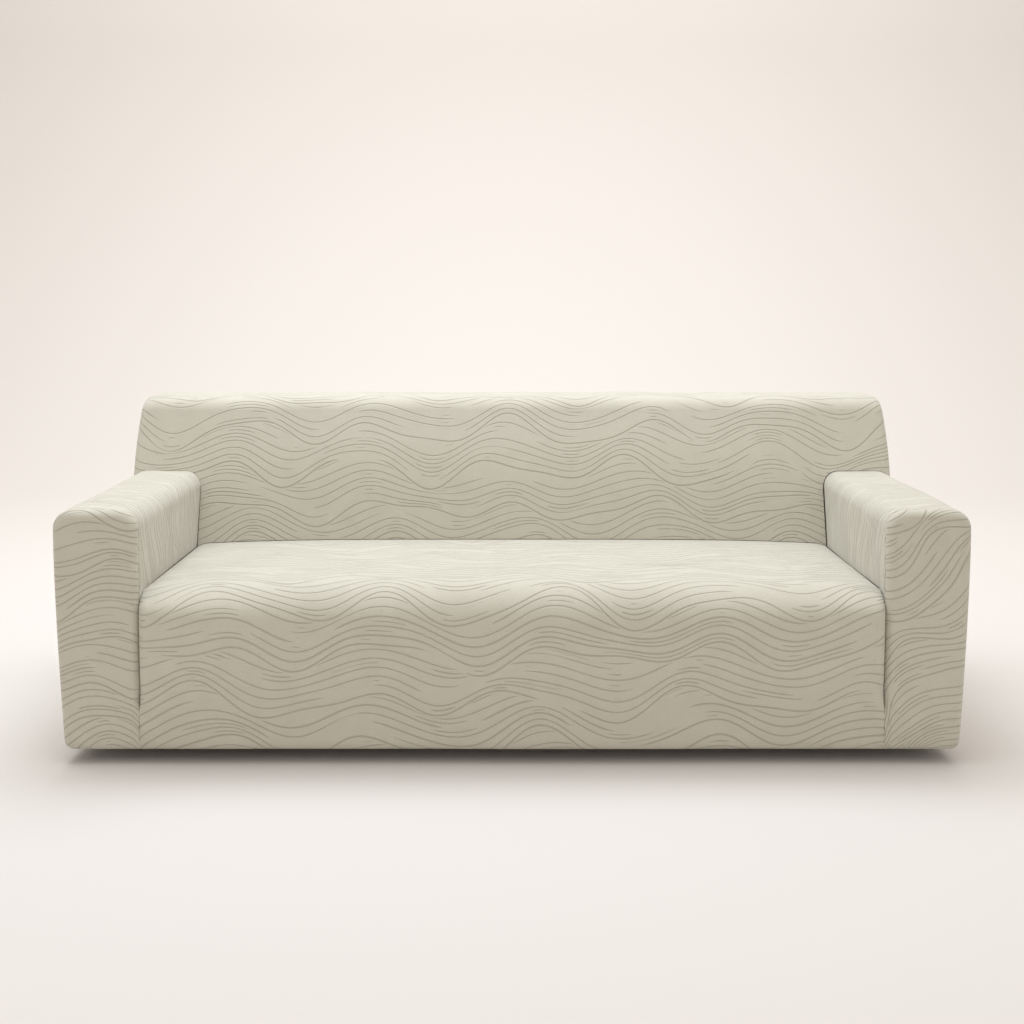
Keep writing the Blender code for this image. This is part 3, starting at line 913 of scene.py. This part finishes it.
def sew(name, node, points, cloth, relief, is_cloth=None, mirror=False, stretch=1.0, cut_at=(0.0, 0.0),
        turn=0.0):
    """A finished piece in place of node: cut_at and turn say where and how it lies on the bolt of cloth."""
    points = draw_in(raised(points, relief))
    if mirror:
        points, cloth = (points * (-1, 1, 1))[:, ::-1], (cloth * (-1, 1))[:, ::-1]
    corners = quads(*points.shape[:2], is_cloth)
    place = cloth.reshape(-1, 2) / stretch
    grain = np.array([[np.cos(turn), -np.sin(turn)], [np.sin(turn), np.cos(turn)]])
    mesh = cloth_mesh(name, points.reshape(-1, 3), place @ grain + cut_at, corners)
    piece = bpy.data.objects.new(name, mesh)
    bpy.context.scene.collection.objects.link(piece)
    thickness = piece.modifiers.new("cloth thickness", "SOLIDIFY")
    thickness.thickness = CLOTH
    thickness.offset = -1.0
    areas = np.zeros(len(mesh.polygons))
    mesh.polygons.foreach_get("area", areas)
    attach(piece, "root")
    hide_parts(node)
    pieces.append(piece)


# %% [markdown]
# The relief near a seam needs each point's distance to that seam, measured along the cloth. On a grid
# that is the running length of its rows or columns, counted from the side that is sewn.

# %% Distance to the seams


def seam_distance(points, sides):
    """Smallest running length from the named sides of the grid: first or last row, first or last column."""
    found = []
    for side in sides.split():
        end, axis = side.split("_")
        axis = 0 if axis == "row" else 1
        steps = np.linalg.norm(np.diff(points, axis=axis), axis=-1)
        zero = np.zeros_like(np.take(steps, [0], axis=axis))
        run = np.concatenate([zero, np.cumsum(steps, axis=axis)], axis=axis)
        found.append(run if end == "first" else np.take(run, [-1], axis=axis) - run)
    return np.min(found, axis=0)


SEAT_SEAMS = "last_row first_column last_column"
seat_reach = seam_distance(seat_points, SEAT_SEAMS)
print("no place on the seat is over", round(float(seat_reach.max()), 2), "m from a seam")

# %% [markdown]
# Three kinds of relief are added up. The cloth dips into a seam and puffs up a little beside it. A
# cover that is pulled over by hand also rises and falls slowly, and where it is gathered it lies in
# short folds.

# %% Dips, puffs and folds
DIP, DIP_REACH = 0.0016, 0.0022
PUFF, PUFF_AT, PUFF_REACH = 0.0007, 0.011, 0.006
UNEVEN, EVEN_NEAR_SEAM = 0.0008, 0.04


def unevenness(cloth, seed):
    """Slow, shallow rises and falls: three crossed sine waves, the seed shifting each."""
    u, v = cloth[..., 0], cloth[..., 1]
    return UNEVEN * (np.sin(7.3 * u + 3.1 * v + seed) + np.sin(4.1 * u - 9.7 * v + 2.3 * seed)
                     + 0.6 * np.sin(17.0 * u + 13.0 * v + 4.1 * seed))


def fold_relief(cloth, folds):
    """Sum of soft folds: each has start, end, width and height, a bell across it and a sine along it."""
    total = np.zeros(cloth.shape[:-1])
    for u0, v0, u1, v1, width, height in folds:
        along = np.array([u1 - u0, v1 - v0])
        length = np.hypot(*along)
        t = ((cloth[..., 0] - u0) * along[0] + (cloth[..., 1] - v0) * along[1]) / length ** 2
        across = ((cloth[..., 0] - u0) * along[1] - (cloth[..., 1] - v0) * along[0]) / length
        total += height * np.exp(-(across / width) ** 2) * np.sin(np.pi * np.clip(t, 0, 1)) ** 1.5
    return total


def cloth_relief(points, cloth, sides, seed, folds=(), sewn=1.0):
    """Sewn share x (dip + puff) near the named sides, plus the unevenness away from them, plus the folds."""
    distance = seam_distance(points, sides)
    dip = -DIP * np.exp(-(distance / DIP_REACH) ** 1.5)
    puff = PUFF * np.exp(-((distance - PUFF_AT) / PUFF_REACH) ** 2)
    uneven = unevenness(cloth, seed) * ease(distance / EVEN_NEAR_SEAM)
    return sewn * (dip + puff) + uneven + fold_relief(cloth, folds)


# %% [markdown]
# ## The nine pieces
#
# The seat's cloth is the widest piece. Where its side drops into the groove beside the arm, the
# groove closes above the hem, and the cloth is gathered there into a few short folds that fan out.

# %% Seat cloth
GATHERS = ((0.000, 0.120, 0.000, -0.02, 0.016, -0.0008), (0.004, 0.128, 0.060, 0.085, 0.009, 0.0014),
           (0.003, 0.112, 0.052, 0.050, 0.007, -0.0009), (0.002, 0.100, 0.034, 0.014, 0.008, 0.0011),
           (0.004, 0.146, 0.075, 0.128, 0.009, -0.0008))


def gathers(edge, towards, size):
    """Short folds that fan out from the end of the groove at edge, to the side given by towards."""
    return [(edge + towards * u0, v0, edge + towards * u1, v1, width, size * height)
            for u0, v0, u1, v1, width, height in GATHERS]


half_cloth = float(seat_cloth[..., 0].max())
seat_folds = gathers(half_cloth, -1, 1.0) + gathers(-half_cloth, 1, 1.25)
seat_sewn = crease_depth(seat_points[..., 2]) / WRAP_Y
seat_relief = cloth_relief(seat_points, seat_cloth, SEAT_SEAMS, 0.4, seat_folds, seat_sewn)
sew("seat_cloth", "seat_panel", seat_points, seat_cloth, seat_relief, stretch=SEAT_STRETCH)

# %% [markdown]
# The backrest's inside is the second wide piece. It stops at the seat and at the tops of the arms.
# The filling behind it swells the face, so that it stands almost upright at its foot and leans back
# more towards the top.

# %% Cloth inside the backrest
BACK_PADDING = 0.018


def back_padding(points, cloth):
    """BACK_PADDING x sin(pi s) x (1 - s to the power 4), s from foot to top roll; a crown to the arms."""
    up = cloth[..., 1] - cloth[:1, :, 1]
    top_row = int(np.argmax(points[:, points.shape[1] // 2, 1] > ROLL_CENTRE_Y + SEAM_GAP)) - 1
    share = np.clip(up / up[top_row], 0, 1)
    across = 1 - np.clip(np.abs(points[..., 0]) / ARM_IN_X, 0, 1) ** 4
    return BACK_PADDING * across * np.sin(np.pi * share) * (1 - share ** 4)


back_relief = cloth_relief(back_points, back_cloth, "last_row first_column last_column", 1.9)
back_relief = back_relief + back_padding(back_points, back_cloth)
sew("backrest_cloth", "back_inside", back_points, back_cloth, back_relief, back_is_cloth,
    stretch=BACK_STRETCH, cut_at=(0.11, 0.26))

# %% [markdown]
# The rear panel closes the back from the top seam down to the hem. It is plain and flat, because
# nothing pads it.

# %% Rear panel
rear_relief = cloth_relief(rear_points, rear_cloth, "first_row first_column last_column", 3.2)
sew("rear_cloth", "back_outside", rear_points, rear_cloth, rear_relief, stretch=BACK_STRETCH,
    cut_at=(0.37, 1.13))

# %% [markdown]
# Each arm has one long cloth and a front panel, and each end of the backrest a flat panel. Left and
# right are cut alike, but they lie at other places on the bolt, so their waves differ. The right
# front is also laid at an angle, and low at its outer corner the cloth stands off in a small bulge.

# %% Arms and their front panels
BULGE = (0.940, 0.060, 0.985, 0.072, 0.016, 0.0022)
BOLT_UP = {"arm": 0.71, "front": 0.17, "end": 1.37}


def sew_arm(side, mirror, arm_at, front_at, front_turn, folds):
    """Long cloth, front panel and end panel of one side; arm_at and front_at are places across the bolt."""
    relief = cloth_relief(arm_points, arm_cloth, "first_row", 2.7 + arm_at)
    sew("arm_cloth_" + side, "arm_" + side, arm_points, arm_cloth, relief, mirror=mirror,
        cut_at=(arm_at, BOLT_UP["arm"]))
    front_sewn = open_crease(arm_front_points[..., 0], arm_front_points[..., 2])
    relief = cloth_relief(arm_front_points, arm_front_cloth, "last_row", 4.4 + arm_at, folds, front_sewn)
    sew("arm_front_cloth_" + side, "arm_front_" + side, arm_front_points, arm_front_cloth, relief,
        mirror=mirror, cut_at=(front_at, BOLT_UP["front"]), turn=np.radians(front_turn))
    relief = cloth_relief(side_points, side_cloth, "first_column last_column last_row", 5.1 + arm_at)
    sew("end_cloth_" + side, "back_side_" + side, side_points, side_cloth, relief, mirror=mirror,
        cut_at=(arm_at, BOLT_UP["end"]))


sew_arm("left", True, -0.31, 0.06, 4.0, gathers(ARM_IN_X, 1, 0.9))
sew_arm("right", False, 0.53, 0.53, 30.0, gathers(ARM_IN_X, 1, 1.2) + [BULGE])
print(len(pieces), "pieces of cloth in all")

# %% [markdown]
# ## Floor, light and camera
#
# A pale floor runs up into a pale backdrop without an edge, as studio paper does. The cover hangs a
# little above it, because the sofa's feet aren't shown.

# %% Floor
FLOOR_DROP = 0.036
FLOOR_COLOUR = (0.650, 0.608, 0.573, 1.0)
FLOOR_FRONT_Y, FLOOR_SIDE_X, WALL_Y, WALL_TOP, COVE = -14.0, 16.0, 6.0, 14.0, 3.0


def make_floor():
    """Floor plane, quarter round and wall, as one strip carried across."""
    angle = np.radians(np.linspace(-90, 0, 24))
    y = np.concatenate([[FLOOR_FRONT_Y], WALL_Y - COVE + COVE * np.cos(angle), [WALL_Y]])
    z = np.concatenate([[0.0], COVE + COVE * np.sin(angle), [WALL_TOP]]) + HEM - FLOOR_DROP
    x = np.array([-FLOOR_SIDE_X, FLOOR_SIDE_X])
    points = np.stack(np.broadcast_arrays(x, y[:, None], z[:, None]), axis=-1).reshape(-1, 3)
    first = 2 * np.arange(len(y) - 1)
    mesh = bpy.data.meshes.new("studio_floor")
    mesh.from_pydata(points, [], np.stack([first, first + 1, first + 3, first + 2], axis=1))
    mesh.shade_smooth()
    material = bpy.data.materials.new("studio_paper")
    material.use_nodes = True
    shader = material.node_tree.nodes["Principled BSDF"]
    shader.inputs["Base Color"].default_value = FLOOR_COLOUR
    shader.inputs["Roughness"].default_value = 0.9
    shader.inputs["Specular IOR Level"].default_value = 0.1
    mesh.materials.append(material)
    floor = bpy.data.objects.new("studio_floor", mesh)
    bpy.context.scene.collection.objects.link(floor)
    print("the floor lies", FLOOR_DROP, "m under the hem")


make_floor()

# %% [markdown]
# A wide soft light hangs above and a little to the left. A second one lights the backdrop, and the
# world gives an even fill from all sides.

# %% Light


def area_light(name, place, target, size, power, colour):
    """A square area light at place, aimed at target."""
    data = bpy.data.lights.new(name, "AREA")
    data.size = size
    data.energy = power
    data.color = colour
    lamp = bpy.data.objects.new(name, data)
    lamp.location = place
    aim = np.subtract(target, place)
    tilt = np.arctan2(np.hypot(aim[0], aim[1]), -aim[2])
    lamp.rotation_euler = (tilt, 0.0, np.arctan2(aim[0], -aim[1]) + np.pi)
    bpy.context.scene.collection.objects.link(lamp)
    print(name, "gives", power, "W over", size, "m")


area_light("top_light", (-0.5, -0.1, 3.4), (-0.1, -0.4, 0.0), 3.2, 108.0, (0.84, 0.96, 1.09))
area_light("backdrop_light", (0.0, 2.5, 5.5), (0.0, 6.0, 1.2), 7.0, 285.0, (0.96, 0.99, 1.02))
world = bpy.data.worlds.new("studio_world")
world.use_nodes = True
fill = world.node_tree.nodes["Background"]
fill.inputs["Color"].default_value = (0.92, 0.89, 0.84, 1.0)
fill.inputs["Strength"].default_value = 0.99
bpy.context.scene.world = world
bpy.context.scene.view_settings.view_transform = "Standard"

# %% [markdown]
# The camera stands in front of the middle, above the top of the backrest, and looks down by three
# degrees. The rest of the way down is lens shift, as on an architectural camera, so that upright
# edges stay nearly upright.

# %% Camera
LENS, SHIFT, TILT_DOWN = 44.25, -0.158, 3.0
CAMERA_AWAY, CAMERA_UP = 2.976, 1.124
camera_data = bpy.data.cameras.new("camera")
camera_data.lens = LENS
camera_data.sensor_width = 36.0
camera_data.shift_y = SHIFT
camera = bpy.data.objects.new("camera", camera_data)
camera.location = (0.0, FRONT - CAMERA_AWAY, HEM + CAMERA_UP)
camera.rotation_euler = (np.radians(90 - TILT_DOWN), 0.0, 0.0)
bpy.context.scene.collection.objects.link(camera)
bpy.context.scene.camera = camera
print("camera", CAMERA_AWAY, "m before the arms and", CAMERA_UP, "m over the hem, lens", LENS, "mm")
